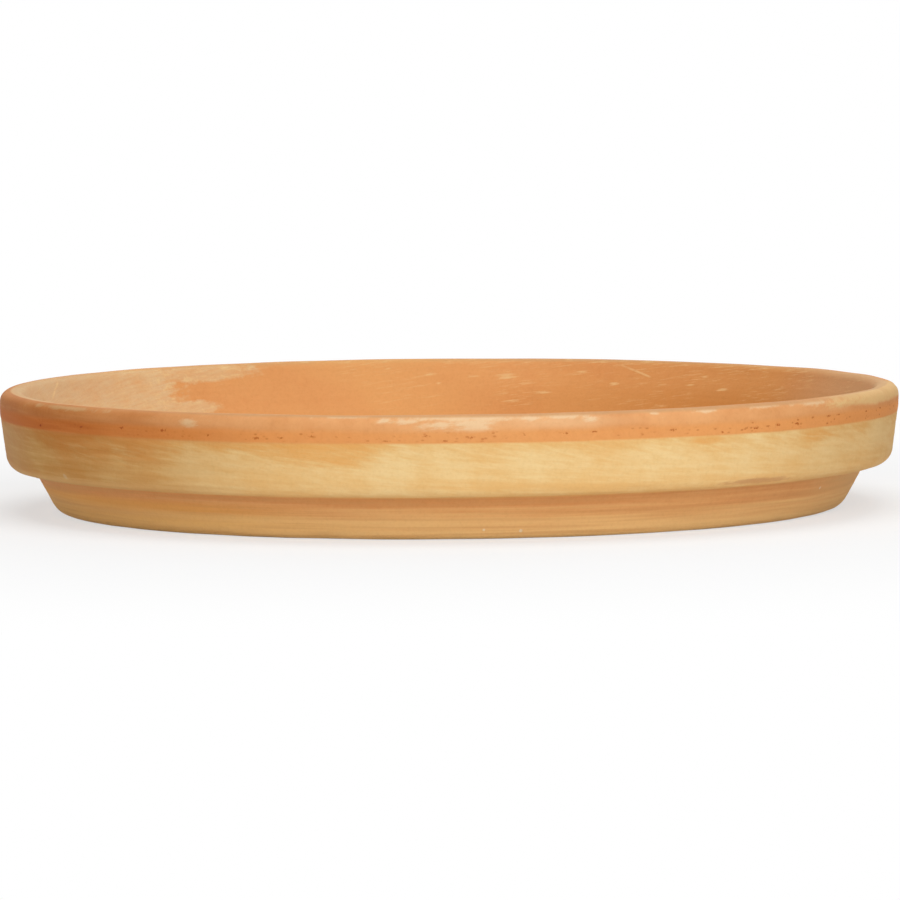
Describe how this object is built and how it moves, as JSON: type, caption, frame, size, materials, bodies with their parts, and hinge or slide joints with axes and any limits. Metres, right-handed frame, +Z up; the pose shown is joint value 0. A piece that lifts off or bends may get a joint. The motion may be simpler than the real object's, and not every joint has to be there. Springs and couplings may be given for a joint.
{
  "type": "plant saucer",
  "caption": "Round terracotta saucer with a stepped wall, a thick leaning collar and a flat dish, which stands under a plant pot and catches its water.",
  "frame": {"origin": "centre of the flat underside, on the surface that the saucer stands on", "axes": "+Z up along the saucer's axis, out of the open dish; X and Y level, with -Y towards the picture's camera"},
  "size_m": [0.28, 0.28, 0.038],
  "materials": {
    "terracotta": "matte"
  },
  "bodies": {
    "root": {"saucer": "terracotta"}
  },
  "joints": []
}
